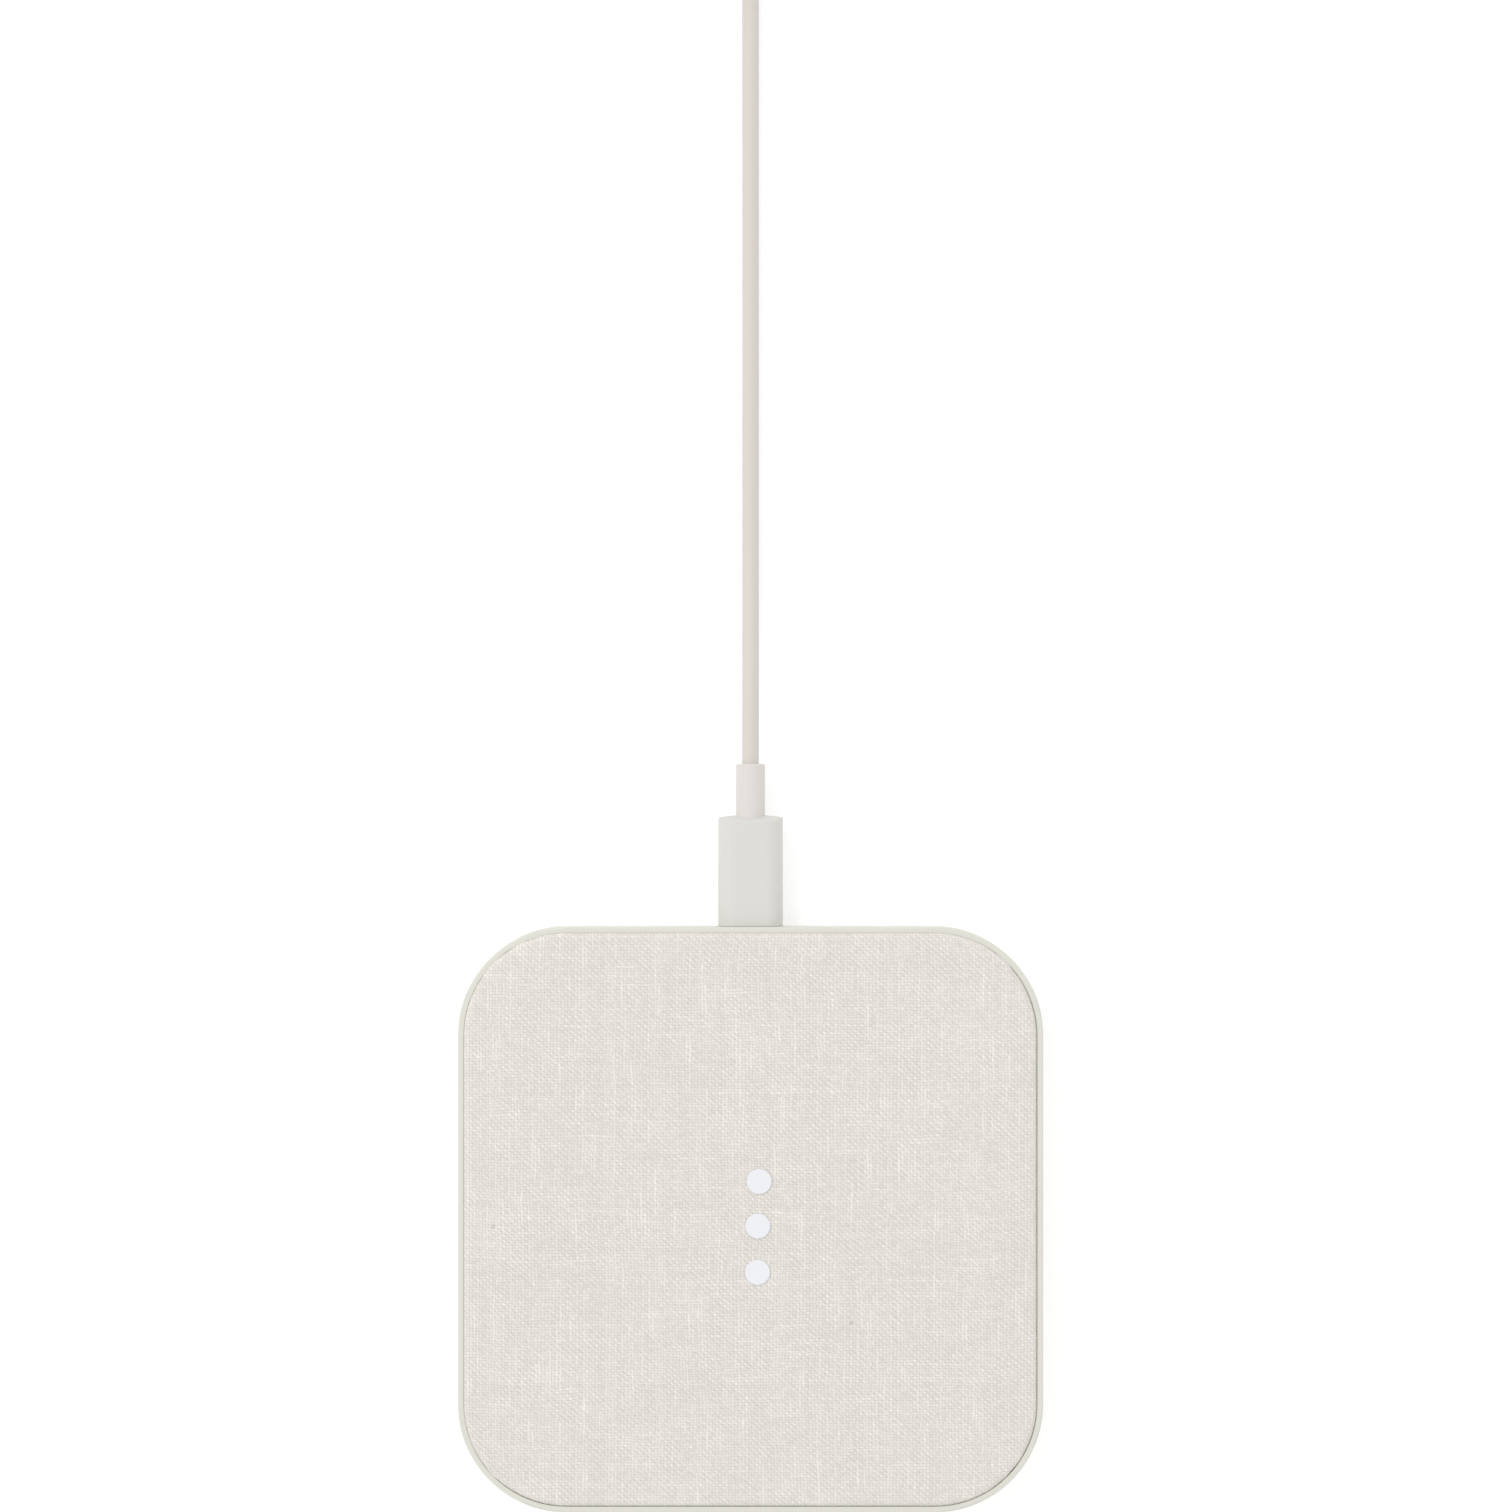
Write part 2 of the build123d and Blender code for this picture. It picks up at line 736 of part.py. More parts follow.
def cord_tie():
    """Band round the winding, at the side away from the cord."""
    across = coil_centre[0] - coil_mean_radius
    width = coil_width + 2 * (tie_thickness + tie_slack)
    height = coil_height + 2 * tie_thickness
    start = Plane.XZ.offset(-(coil_centre[1] - tie_width / 2)) * Pos(across, coil_bottom + coil_height / 2)
    outline = start * RectangleRounded(width, height, on_table + tie_thickness)
    return extrude(outline, -tie_width) - coil_ring(tie_gap)


# ---------------------------------------------------------------- usb-a plug

usb_a_relief_end = tail_end + relief_length
usb_a_housing_end = usb_a_relief_end + usb_a_housing_length
usb_a_tip = usb_a_housing_end + usb_a_metal_length
usb_a_metal_start = usb_a_housing_end - usb_a_metal_embedded
usb_a_inner_width = usb_a_width - 2 * usb_a_metal
usb_a_inner_height = usb_a_height - 2 * usb_a_metal
usb_a_floor = usb_a_level - usb_a_inner_height / 2


def usb_a_housing():
    housing = round_bar(
        usb_a_housing_width,
        usb_a_housing_height,
        usb_a_housing_round,
        usb_a_relief_end,
        usb_a_housing_end,
        usb_a_level,
    )
    housing = fillet(housing.edges().group_by(Axis.Y)[0], usb_a_rear_round)
    housing = fillet(housing.edges().group_by(Axis.Y)[-1], usb_a_front_round)
    outer = usb_a_metal_round[0]
    return housing - round_bar(
        usb_a_width, usb_a_height, outer, usb_a_metal_start, usb_a_housing_end + 1, usb_a_level
    )


def usb_a_shell():
    outer, inner = usb_a_metal_round
    shell = round_bar(usb_a_width, usb_a_height, outer, usb_a_metal_start, usb_a_tip, usb_a_level)
    shell -= round_bar(
        usb_a_inner_width, usb_a_inner_height, inner, usb_a_metal_start - 1, usb_a_tip + 1, usb_a_level
    )
    far = usb_a_tip - latch_window_setback
    for x in (-latch_window_offset, latch_window_offset):
        shell -= block(
            (x - latch_window[0] / 2, x + latch_window[0] / 2),
            (far - latch_window[1], far),
            (usb_a_level - usb_a_height, usb_a_level + usb_a_height),
        )
    return shell


def usb_a_tongue():
    half = usb_a_inner_width / 2 - usb_a_insert_gap
    tip = usb_a_tip - usb_a_insert_setback
    tongue = block((-half, half), (usb_a_metal_start, tip), (usb_a_floor, usb_a_floor + usb_a_insert_height))
    back = block(
        (-half, half),
        (usb_a_metal_start, usb_a_housing_end + usb_a_block_length),
        (usb_a_floor, usb_a_floor + usb_a_inner_height),
    )
    return tongue + back


def usb_a_contacts():
    level = usb_a_floor + usb_a_insert_height
    width, thickness = usb_a_contact_size
    end = usb_a_tip - usb_a_contact_setback
    return together(
        block((x - width / 2, x + width / 2), (end - length, end), (level, level + thickness))
        for x, length in usb_a_contact_rows
    )


# ---------------------------------------------------------------- nodes

nodes = {
    "case_tray": case_tray,
    "non_slip_foot": non_slip_foot,
    "foot_adhesive": foot_adhesive,
    "case_screws": case_screws,
    "top_panel": top_panel,
    "linen_adhesive": linen_adhesive,
    "linen_cover": linen_cover,
    "charging_coil": charging_coil,
    "coil_leads": coil_leads,
    "coil_film": coil_film,
    "ferrite_shield": ferrite_shield,
    "temperature_sensor": temperature_sensor,
    "circuit_board": circuit_board,
    "board_screws": board_screws,
    "usb_c_receptacle_shell": usb_c_receptacle_shell,
    "usb_c_receptacle_tongue": usb_c_receptacle_tongue,
    "usb_c_receptacle_contacts": usb_c_receptacle_contacts,
    "usb_c_plug_shell": usb_c_plug_shell,
    "usb_c_plug_insert": usb_c_plug_insert,
    "usb_c_plug_contacts": usb_c_plug_contacts,
    "usb_c_paddle_board": paddle_board,
    "usb_c_housing": usb_c_housing,
    "usb_c_strain_relief": lambda: relief(relief_front, relief_rear, port_level, False),
    "cord_lead": lambda: cord_run("cord_lead", lead_route, relief_rear),
    "cord_coil": cord_coil,
    "cord_tail": lambda: cord_run("cord_tail", tail_route, coil_centre[1]),
    "cord_tie": cord_tie,
    "usb_a_strain_relief": lambda: relief(tail_end, usb_a_relief_end, usb_a_level, True),
    "usb_a_housing": usb_a_housing,
    "usb_a_shell": usb_a_shell,
    "usb_a_tongue": usb_a_tongue,
    "usb_a_contacts": usb_a_contacts,
}
for name, place in dot_places.items():
    nodes[name] = lambda place=place: alignment_dot(place)
for name in components:
    nodes[name] = lambda name=name: board_parts(name)

os.makedirs("parts", exist_ok=True)
for name, make in nodes.items():
    export_step(make(), f"parts/{name}.step")
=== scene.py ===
"""Looks of a square wireless charging pad with a linen face, on a USB lead.

Metres, in the frame of the CAD model.
"""
import bpy
import json
import math
import numpy as np
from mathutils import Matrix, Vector, noise


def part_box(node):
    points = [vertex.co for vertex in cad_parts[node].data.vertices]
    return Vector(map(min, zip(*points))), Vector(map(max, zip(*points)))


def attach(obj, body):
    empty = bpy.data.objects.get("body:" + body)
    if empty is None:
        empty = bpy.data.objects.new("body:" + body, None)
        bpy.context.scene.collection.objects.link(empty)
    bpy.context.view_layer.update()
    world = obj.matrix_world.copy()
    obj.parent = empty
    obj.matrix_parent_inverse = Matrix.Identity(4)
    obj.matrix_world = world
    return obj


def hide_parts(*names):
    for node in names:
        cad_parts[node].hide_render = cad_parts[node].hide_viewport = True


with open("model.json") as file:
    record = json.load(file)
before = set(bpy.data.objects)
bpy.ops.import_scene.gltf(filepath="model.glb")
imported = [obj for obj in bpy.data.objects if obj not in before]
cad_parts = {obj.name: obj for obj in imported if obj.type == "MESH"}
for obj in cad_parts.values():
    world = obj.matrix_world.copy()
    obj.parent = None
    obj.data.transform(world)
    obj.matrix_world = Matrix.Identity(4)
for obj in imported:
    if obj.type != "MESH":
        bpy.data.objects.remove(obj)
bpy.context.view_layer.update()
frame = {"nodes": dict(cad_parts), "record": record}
nodes = frame["nodes"]
noise.seed_set(11)   # the clock seeds noise_vector otherwise, and each run differs

MM = 0.001

# ---------------------------------------------------------------- sizes

WARP_PITCH = 0.56 * MM         # between the threads that run along Y
WEFT_PITCH = 0.50 * MM         # between the threads that run along X
LINEN_THICKNESS = 0.45 * MM
LINEN_EDGE_ROUND = 1.15 * MM   # of the linen's outside where it goes over the panel's edge
LINEN_HEM = 6.0 * MM           # folded under the panel
LINEN_GAP = 0.15 * MM          # to the rim, at the linen's side
CLOTH_CLEARANCE = 0.02 * MM    # to the rim where the cloth swells up to it
SWELL_LEVEL = 1.08 * MM        # how far below the face it has swelled up to the rim all round
WEAVE_RELIEF = 0.05 * MM       # from a gap between threads to a crown
CLOTH_DRIFT = 0.22 * MM        # how far threads wander from straight lines
THREAD_WANDER = 0.16 * MM      # the same within a few threads
THREAD_UNEVEN = 0.09           # spread of the threads' thickness, as a share of it
YARN_SLANT = 0.35              # how far the twist leans a crown, per unit along the thread
WEFT_LIGHTER = 0.08            # tone of the weft over the warp

GROOVE_EXTRA = 0.04 * MM       # how much wider the groove is than the gap, where it is open
ROLL_LIFT = 0.20 * MM          # by which the cloth's roll over the edge is flatter than round
ROLL_LIFT_TIGHT = 0.10 * MM    # and by which it is flatter still where the cloth is tight
LIP_LEVEL = 1.01 * MM          # below the face, where the cloth starts to swell outwards
LIP_REACH = 0.6                # how far out it is there, as a share of the way to the rim
LIP_RUN = 0.08 * MM            # cloth from the roll to there
SWELL_RUN = 0.20 * MM          # cloth from the roll to the rim
INNER_SIDE = 1.4 * MM          # cloth's inside between the hem and the roll
ROLL_STEPS = 8
FOLD_STEPS = 3

CORD_DIAMETER = 2.9 * MM
LEAD_POINTS = (56 * MM, 98 * MM, 130 * MM)   # along the table, behind the strain relief
LEAVES_STRAIGHT = 12 * MM      # out of the strain relief before the cord bends down
REACHES_TABLE = 34 * MM
REACHES_WINDING = 162 * MM
TAIL_STRAIGHT = 11 * MM        # out of the winding before the cord bends down to the far plug
TAIL_LEVEL = 33 * MM           # where it is level with that plug
TAIL_END = 45 * MM
TIE_THICKNESS = 0.8 * MM
TIE_WIDTH = 9.0 * MM
TIE_SLACK = 1.2 * MM
TIE_CORNER = 1.6 * MM
TIE_EDGE = 0.2 * MM
WINDING_RADIUS = 17.15 * MM    # middle of the turns
WINDING_COLUMNS = 3
WINDING_LAYERS = 4
POINTS_PER_TURN = 24
FLOOR_DROP = 0.02 * MM         # keeps the floor and the foot's underside apart

linen_low, linen_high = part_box("linen_cover")


def level_of(node):
    """Middle height of a node."""
    low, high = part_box(node)
    return (low.z + high.z) / 2


# ---------------------------------------------------------------- modelling helpers

def deselect():
    if bpy.context.object and bpy.context.object.mode != "OBJECT":
        bpy.ops.object.mode_set(mode="OBJECT")
    bpy.ops.object.select_all(action="DESELECT")


def take(piece):
    """Makes one piece the only selected and the active one."""
    deselect()
    piece.select_set(True)
    bpy.context.view_layer.objects.active = piece


def name_new(name):
    """Names the primitive that was just added, and sets its place into its mesh."""
    piece = bpy.context.object
    piece.name = name
    piece.data.name = name
    bpy.ops.object.transform_apply(location=True, rotation=True, scale=True)
    return piece


def select_in(piece, kind, wanted):
    """In edit mode of kind EDGE or FACE, selects what wanted(element) says; leaves edit mode on."""
    take(piece)
    bpy.ops.object.mode_set(mode="EDIT")
    bpy.ops.mesh.select_mode(type=kind)
    bpy.ops.mesh.select_all(action="DESELECT")
    bpy.ops.object.mode_set(mode="OBJECT")
    mesh = piece.data
    for element in {"EDGE": mesh.edges, "FACE": mesh.polygons}[kind]:
        element.select = bool(wanted(element))
    bpy.ops.object.mode_set(mode="EDIT")


def apply_all(piece):
    take(piece)
    for modifier in list(piece.modifiers):
        bpy.ops.object.modifier_apply(modifier=modifier.name)


def smooth(piece, degrees=35):
    take(piece)
    bpy.ops.object.shade_smooth_by_angle(angle=math.radians(degrees))


def points_of(mesh):
    flat = np.zeros(len(mesh.vertices) * 3)
    mesh.vertices.foreach_get("co", flat)
    return flat.reshape(-1, 3)


def put_points(mesh, points):
    mesh.vertices.foreach_set("co", np.asarray(points, float).ravel())
    mesh.update()


def open_edges(mesh):
    """Pairs of vertices whose edge has a face on one side only."""
    faces_on = {}
    for polygon in mesh.polygons:
        for pair in polygon.edge_keys:
            faces_on[pair] = faces_on.get(pair, 0) + 1
    return {pair for pair, count in faces_on.items() if count == 1}


# ---------------------------------------------------------------- finishes: helpers

def finish_called(name, colour, roughness, **sockets):
    """A material with its shader; sockets are further constant inputs of the shader."""
    material = bpy.data.materials.new(name)
    material.use_nodes = True
    shader = material.node_tree.nodes["Principled BSDF"]
    shader.inputs["Base Color"].default_value = (*colour, 1)
    shader.inputs["Roughness"].default_value = roughness
    for socket, value in sockets.items():
        shader.inputs[socket.replace("_", " ")].default_value = value
    return material, material.node_tree, shader


def add_node(tree, kind, inputs=None, **settings):
    """A node; inputs maps socket names or numbers to a value or to another node's output."""
    made = tree.nodes.new(kind)
    for setting, value in settings.items():
        setattr(made, setting, value)
    for socket, value in (inputs or {}).items():
        if isinstance(value, bpy.types.NodeSocket):
            tree.links.new(value, made.inputs[socket])
        else:
            made.inputs[socket].default_value = value
    return made


def calc(tree, operation, first, second=0.0, third=0.0):
    inputs = {0: first, 1: second, 2: third}
    return add_node(tree, "ShaderNodeMath", inputs, operation=operation).outputs[0]


def place_in(tree):
    """Object coordinates in millimetres."""
    where = add_node(tree, "ShaderNodeTexCoord").outputs["Object"]
    return add_node(tree, "ShaderNodeMapping", {"Vector": where, "Scale": (1 / MM,) * 3}).outputs["Vector"]


def noise_at(tree, vector, scale, detail=2.0, roughness=0.5, dimensions="3D"):
    return add_node(
        tree,
        "ShaderNodeTexNoise",
        {"Vector": vector, "Scale": scale, "Detail": detail, "Roughness": roughness},
        noise_dimensions=dimensions,
    ).outputs["Fac"]


def spread(tree, value, low, high, to_low=0.0, to_high=1.0):
    """Maps low..high to to_low..to_high, held at the ends."""
    return add_node(
        tree,
        "ShaderNodeMapRange",
        {"Value": value, "From Min": low, "From Max": high, "To Min": to_low, "To Max": to_high},
    ).outputs["Result"]


def between(tree, amount, first, second):
    """Colour between two colours."""
    mix = add_node(tree, "ShaderNodeMix", {"Factor": amount}, data_type="RGBA")
    for socket, colour in (("A", first), ("B", second)):
        target = [i for i in mix.inputs if i.name == socket and i.type == "RGBA"][0]
        if isinstance(colour, bpy.types.NodeSocket):
            tree.links.new(colour, target)
        else:
            target.default_value = (*colour, 1)
    return [o for o in mix.outputs if o.type == "RGBA"][0]


def bumped(tree, shader, height, depth):
    bump = add_node(tree, "ShaderNodeBump", {"Height": height, "Distance": depth, "Strength": 1.0})
    tree.links.new(bump.outputs["Normal"], shader.inputs["Normal"])


def shade_of(colour, share):
    return tuple(channel * share for channel in colour)


# ---------------------------------------------------------------- finishes

def moulded_plastic(name, colour, roughness, grain, depth, patch=0.03, **sockets):
    """Moulded plastic or rubber: fine grain of the mould, faint patches of tone and of gloss."""
    material, tree, shader = finish_called(name, colour, roughness, **sockets)
    patches_per_mm = 0.12
    fine_share = 0.35            # of the tone that comes from the grain; the rest is patches
    gloss_change = 0.05
    place = place_in(tree)
    patches = noise_at(tree, place, patches_per_mm, 3.0)
    fine = noise_at(tree, place, 1 / grain, 2.0, 0.6)
    tone = calc(tree, "MULTIPLY_ADD", fine, fine_share, calc(tree, "MULTIPLY", patches, 1 - fine_share))
    tinted = between(tree, tone, shade_of(colour, 1 - patch), shade_of(colour, 1 + patch))
    tree.links.new(tinted, shader.inputs["Base Color"])
    gloss = spread(tree, patches, 0.3, 0.7, roughness - gloss_change, roughness + gloss_change)
    tree.links.new(gloss, shader.inputs["Roughness"])
    bumped(tree, shader, fine, depth)
    return material


def linen_finish():
    """Plain weave on the cloth's own map, whose unit is the cut's side."""
    # the third colour is painted shade, for the gaps between the threads
    light, dark, gap_shade = (0.882, 0.847, 0.805), (0.688, 0.656, 0.610), (0.575, 0.540, 0.492)
    fleck = (0.22, 0.17, 0.12)
    thread_tone = 0.30          # from the darkest thread to the lightest
    weft_share = 0.6            # of the warp's unevenness in tone that the weft has
    streak_tone = 0.62          # of a slub's middle line
    crossing_tone = 0.52        # from crossing to crossing
    fibre_tone = 1.5
    patch_tone = 0.5
    tone_low, tone_high = -0.35, 1.25   # tones that come out dark and light
    flecks_over = 0.99993       # share of crossings with no fleck
    fleck_strength = 0.35
    slubs = 0.055               # how often slubs come, per crossing along a thread
    slub_low, slub_high = 0.58, 0.78
    half_width, width_varies, slub_widens = 0.42, 0.07, 0.12   # in pitches
    dome_height, swing_height = 0.38, 0.22
    streak_core, streak_edge = 0.08, 0.34                      # from a thread's middle, in pitches
    material, tree, shader = finish_called("linen", light, 0.92, Sheen_Weight=0.15, Sheen_Roughness=0.5)
    shader.inputs["Specular IOR Level"].default_value = 0.2
    flat = add_node(tree, "ShaderNodeUVMap", uv_map="cloth").outputs["UV"]
    axes = add_node(tree, "ShaderNodeSeparateXYZ", {"Vector": flat}).outputs
    along_x = calc(tree, "MULTIPLY", axes[0], CUT_SIDE / WARP_PITCH)
    along_y = calc(tree, "MULTIPLY", axes[1], CUT_SIDE / WEFT_PITCH)
    warp = calc(tree, "FLOOR", along_x)
    weft = calc(tree, "FLOOR", along_y)
    in_warp = calc(tree, "SUBTRACT", calc(tree, "FRACT", along_x), 0.5)
    in_weft = calc(tree, "SUBTRACT", calc(tree, "FRACT", along_y), 0.5)
    # +1 where the warp thread lies on top, -1 where the weft does
    on_top = calc(tree, "COSINE", calc(tree, "MULTIPLY", calc(tree, "ADD", warp, weft), math.pi))

    def thread(index, across, own_run, other_across, sign, vary):
        """Height of one set of threads, its tone, and how light a slub makes it here."""
        apart = calc(tree, "MULTIPLY", index, 7.31)
        key = add_node(tree, "ShaderNodeCombineXYZ", {0: apart, 1: own_run}).outputs[0]
        slub = spread(tree, noise_at(tree, key, slubs, 1.0, 0.5, "2D"), slub_low, slub_high)
        seed = calc(tree, "ADD", index, sign * 0.37)
        random = add_node(
            tree, "ShaderNodeTexWhiteNoise", {"W": seed}, noise_dimensions="1D"
        ).outputs["Value"]
        usual = calc(tree, "MULTIPLY_ADD", slub, slub_widens, half_width)
        half = calc(tree, "MULTIPLY_ADD", random, width_varies, usual)
        # the twist of the yarn sets each crown at a slant
        slanted = calc(tree, "MULTIPLY_ADD", other_across, YARN_SLANT, across)
        ratio = calc(tree, "DIVIDE", slanted, half)
        inside = calc(tree, "SUBTRACT", 1.0, calc(tree, "POWER", ratio, 2.0))
        dome = calc(tree, "SQRT", calc(tree, "MAXIMUM", inside, 0.0))
        swing = calc(tree, "COSINE", calc(tree, "MULTIPLY", other_across, math.pi))
        rise = calc(tree, "MULTIPLY", swing, on_top)
        domed = calc(tree, "MULTIPLY", dome, dome_height)
        height = calc(tree, "MULTIPLY_ADD", rise, swing_height * sign, domed)
        # a slub shows as a thin light line along the middle of its thread
        middle = spread(tree, calc(tree, "ABSOLUTE", across), streak_core, streak_edge, 1.0, 0.0)
        streak = calc(tree, "MULTIPLY", slub, calc(tree, "MULTIPLY", middle, vary))
        return height, calc(tree, "MULTIPLY", random, thread_tone * vary), streak

    warp_height, warp_tone, warp_streak = thread(warp, in_warp, along_y, in_weft, 1, 1.0)
    weft_height, weft_tone, weft_streak = thread(weft, in_weft, along_x, in_warp, -1, weft_share)
    height = calc(tree, "MAXIMUM", warp_height, weft_height)
    shows = calc(tree, "GREATER_THAN", warp_height, weft_height)
    weft_tone = calc(tree, "ADD", weft_tone, WEFT_LIGHTER)
    tone = add_node(tree, "ShaderNodeMix", {"Factor": shows, 2: weft_tone, 3: warp_tone}).outputs[0]
    # a slub is thick enough to show beside the thread that crosses it
    thick = calc(tree, "MAXIMUM", warp_streak, weft_streak)
    tone = calc(tree, "MULTIPLY_ADD", thick, streak_tone, tone)
    # painted highlight: crowns line up in slanting rows, painted lighter where the twist would face the
    # light, clearer in some places
    rows = calc(tree, "COSINE", calc(tree, "MULTIPLY", calc(tree, "ADD", along_x, along_y), math.pi))
    place = place_in(tree)
    highlight_strength = spread(tree, noise_at(tree, place, 0.30, 2.0), 0.38, 0.62, 0.12, 0.38)
    tone = calc(tree, "MULTIPLY_ADD", rows, highlight_strength, tone)
    pair = add_node(tree, "ShaderNodeCombineXYZ", {0: warp, 1: weft}).outputs[0]
    crossing = add_node(
        tree, "ShaderNodeTexWhiteNoise", {"Vector": pair}, noise_dimensions="2D"
    ).outputs["Value"]
    tone = calc(tree, "SUBTRACT", tone, crossing_tone / 2)
    tone = calc(tree, "MULTIPLY_ADD", crossing, crossing_tone, tone)
    fibre = noise_at(tree, place, 2.1, 2.0, 0.7)
    patches = noise_at(tree, place, 0.12, 3.0, 0.6)
    for pattern, strength in ((fibre, fibre_tone), (patches, patch_tone)):
        change = calc(tree, "MULTIPLY", calc(tree, "SUBTRACT", pattern, 0.5), strength)
        tone = calc(tree, "ADD", tone, change)
    yarn = between(tree, spread(tree, tone, tone_low, tone_high), dark, light)
    # painted shade in the gaps between the threads, darkest where the crowns are low; thick and thin
    # places of the weave, and slubs, close the gaps so that less of it shows
    tight = spread(tree, noise_at(tree, place, 0.9, 2.0, 0.6), 0.35, 0.65, 0.25, 0.75)
    closed = calc(tree, "MULTIPLY_ADD", thick, 0.3, tight)
    depth = calc(tree, "MAXIMUM", spread(tree, height, 0.02, 0.40), closed)
    shaded_weave = between(tree, depth, gap_shade, yarn)
    speck = calc(tree, "MULTIPLY", calc(tree, "GREATER_THAN", crossing, flecks_over), fleck_strength)
    tree.links.new(between(tree, speck, shaded_weave, fleck), shader.inputs["Base Color"])
    rough = calc(tree, "MULTIPLY_ADD", fibre, 0.10, height)
    bumped(tree, shader, rough, 0.09 * MM)
    return material


# ---------------------------------------------------------------- camera, light and floor

def camera():
    """Looks straight down from about a metre, ahead of the pad's middle."""
    distance = 1.0
    framed = 258.0 * MM
    sensor = 36.0
    aim = Vector((0.94 * MM, 79.2 * MM, 0))
    bpy.ops.object.camera_add(location=(aim.x, aim.y, distance), rotation=(0, 0, 0))
    eye = bpy.context.object
    eye.data.sensor_width = sensor
    eye.data.lens = sensor * (distance - linen_high.z) / framed
    eye.data.clip_start = 0.05
    bpy.context.scene.camera = eye


def key_light():
    """One large soft light from the left and the back."""
    place = Vector((-1.0, 0.95, 1.75))
    aim = Vector((0, 0.05, 0))
    bpy.ops.object.light_add(type="AREA", location=place)
    lamp = bpy.context.object
    lamp.name = "key"
    lamp.data.size = 0.9
    lamp.data.energy = 11.5
    lamp.data.color = (1.0, 0.995, 0.985)
    lamp.rotation_euler = (aim - place).to_track_quat("-Z", "Y").to_euler()


def lay_floor():
    """Pale sheet that shines a little itself, so that it is white with hardly a shadow."""
    deselect()
    bpy.ops.mesh.primitive_plane_add(size=6.0, location=(0, 0.1, -FLOOR_DROP))
    floor = name_new("floor")
    material, tree, shader = finish_called("floor_paper", (0.60, 0.60, 0.60), 0.95)
    shader.inputs["Emission Color"].default_value = (1, 1, 1, 1)
    shader.inputs["Emission Strength"].default_value = 0.50
    shader.inputs["Specular IOR Level"].default_value = 0.0
    # it is clear from below, so that the foot can be looked at
    below = add_node(tree, "ShaderNodeNewGeometry").outputs["Backfacing"]
    clear = add_node(tree, "ShaderNodeBsdfTransparent").outputs["BSDF"]
    sides = add_node(tree, "ShaderNodeMixShader", {0: below, 1: shader.outputs["BSDF"], 2: clear})
    tree.links.new(sides.outputs["Shader"], tree.nodes["Material Output"].inputs["Surface"])
    floor.data.materials.append(material)


def studio():
    """The floor, the light and a pale even sky."""
    lay_floor()
    deselect()
    key_light()
    world = bpy.data.worlds.new("studio")
    world.use_nodes = True
    sky = world.node_tree.nodes["Background"]
    sky.inputs["Color"].default_value = (1, 1, 1, 1)
    sky.inputs["Strength"].default_value = 0.92
    bpy.context.scene.world = world
    bpy.context.scene.view_settings.view_transform = "Standard"


# ---------------------------------------------------------------- cord

def smoothstep(low, high, value):
    share = min(max((value - low) / (high - low), 0.0), 1.0)
    return share * share * (3 - 2 * share)


def winding_points(centre, bottom):
    """The put-away turns: layer on layer, going in on one and out on the next."""
    slots = []
    for layer in range(WINDING_LAYERS):
        columns = range(WINDING_COLUMNS)
        order = reversed(columns) if layer % 2 == 0 else columns
        slots += [(column - (WINDING_COLUMNS - 1) / 2, layer) for column in order]
    slots.append(slots[-1])
    reach = 1 / math.cos(math.pi / POINTS_PER_TURN)
    made = []
    for turn in range(len(slots) - 1):
        (column, layer), (next_column, next_layer) = slots[turn], slots[turn + 1]
        for step in range(POINTS_PER_TURN):
            share = (step + 0.5) / POINTS_PER_TURN
            angle = 2 * math.pi * share
            across = smoothstep(0.70, 0.85, share)
            up = smoothstep(0.85, 1.00, share)
            radius = WINDING_RADIUS + (column + (next_column - column) * across) * CORD_DIAMETER
            height = bottom + (layer + (next_layer - layer) * up + 0.5) * CORD_DIAMETER
            out = reach * radius
            made.append((centre[0] + out * math.cos(angle), centre[1] + out * math.sin(angle), height))
    return made


def cord():
    """One smooth line from the strain relief through the winding to the far plug."""
    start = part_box("usb_c_strain_relief")[1].y
    port = level_of("usb_c_strain_relief")
    on_table = CORD_DIAMETER / 2
    first = [(0, start, port), (0, start + LEAVES_STRAIGHT, port), (0, start + REACHES_TABLE, on_table)]
    first += [(0, start + far_along, on_table) for far_along in LEAD_POINTS]
    first.append((0, start + REACHES_WINDING, TIE_THICKNESS + on_table))
    outer = WINDING_RADIUS + (WINDING_COLUMNS - 1) / 2 * CORD_DIAMETER
    middle = first[-1][1]
    top = TIE_THICKNESS + (WINDING_LAYERS - 0.5) * CORD_DIAMETER
    far = level_of("usb_a_strain_relief")
    last = [
        (0, middle, top),
        (0, middle + TAIL_STRAIGHT, top),
        (0, middle + TAIL_LEVEL, far),
        (0, middle + TAIL_END, far),
    ]
    route = first + winding_points((-outer, middle), TIE_THICKNESS) + last
    curve = bpy.data.curves.new("cord", "CURVE")
    curve.dimensions = "3D"
    spline = curve.splines.new("NURBS")
    spline.points.add(len(route) - 1)
    for point, place in zip(spline.points, route):
        point.co = (*place, 1)
    spline.order_u = 3
    spline.use_endpoint_u = True
    spline.resolution_u = 8
    curve.bevel_depth = CORD_DIAMETER / 2
    curve.bevel_resolution = 5
    curve.use_fill_caps = True
    piece = bpy.data.objects.new("cord", curve)
    bpy.context.scene.collection.objects.link(piece)
    curve.materials.append(finishes["cord"])
    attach(piece, "cable")
    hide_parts("cord_lead", "cord_coil", "cord_tail")
    redrawn = ("cord_lead", "cord_coil", "cord_tail", "cord_tie")
    on_cord = [nodes[name] for name in frame["record"]["physics"]["cord_nodes"] if name not in redrawn]
    on_cord + [tie_band((-outer, middle))]


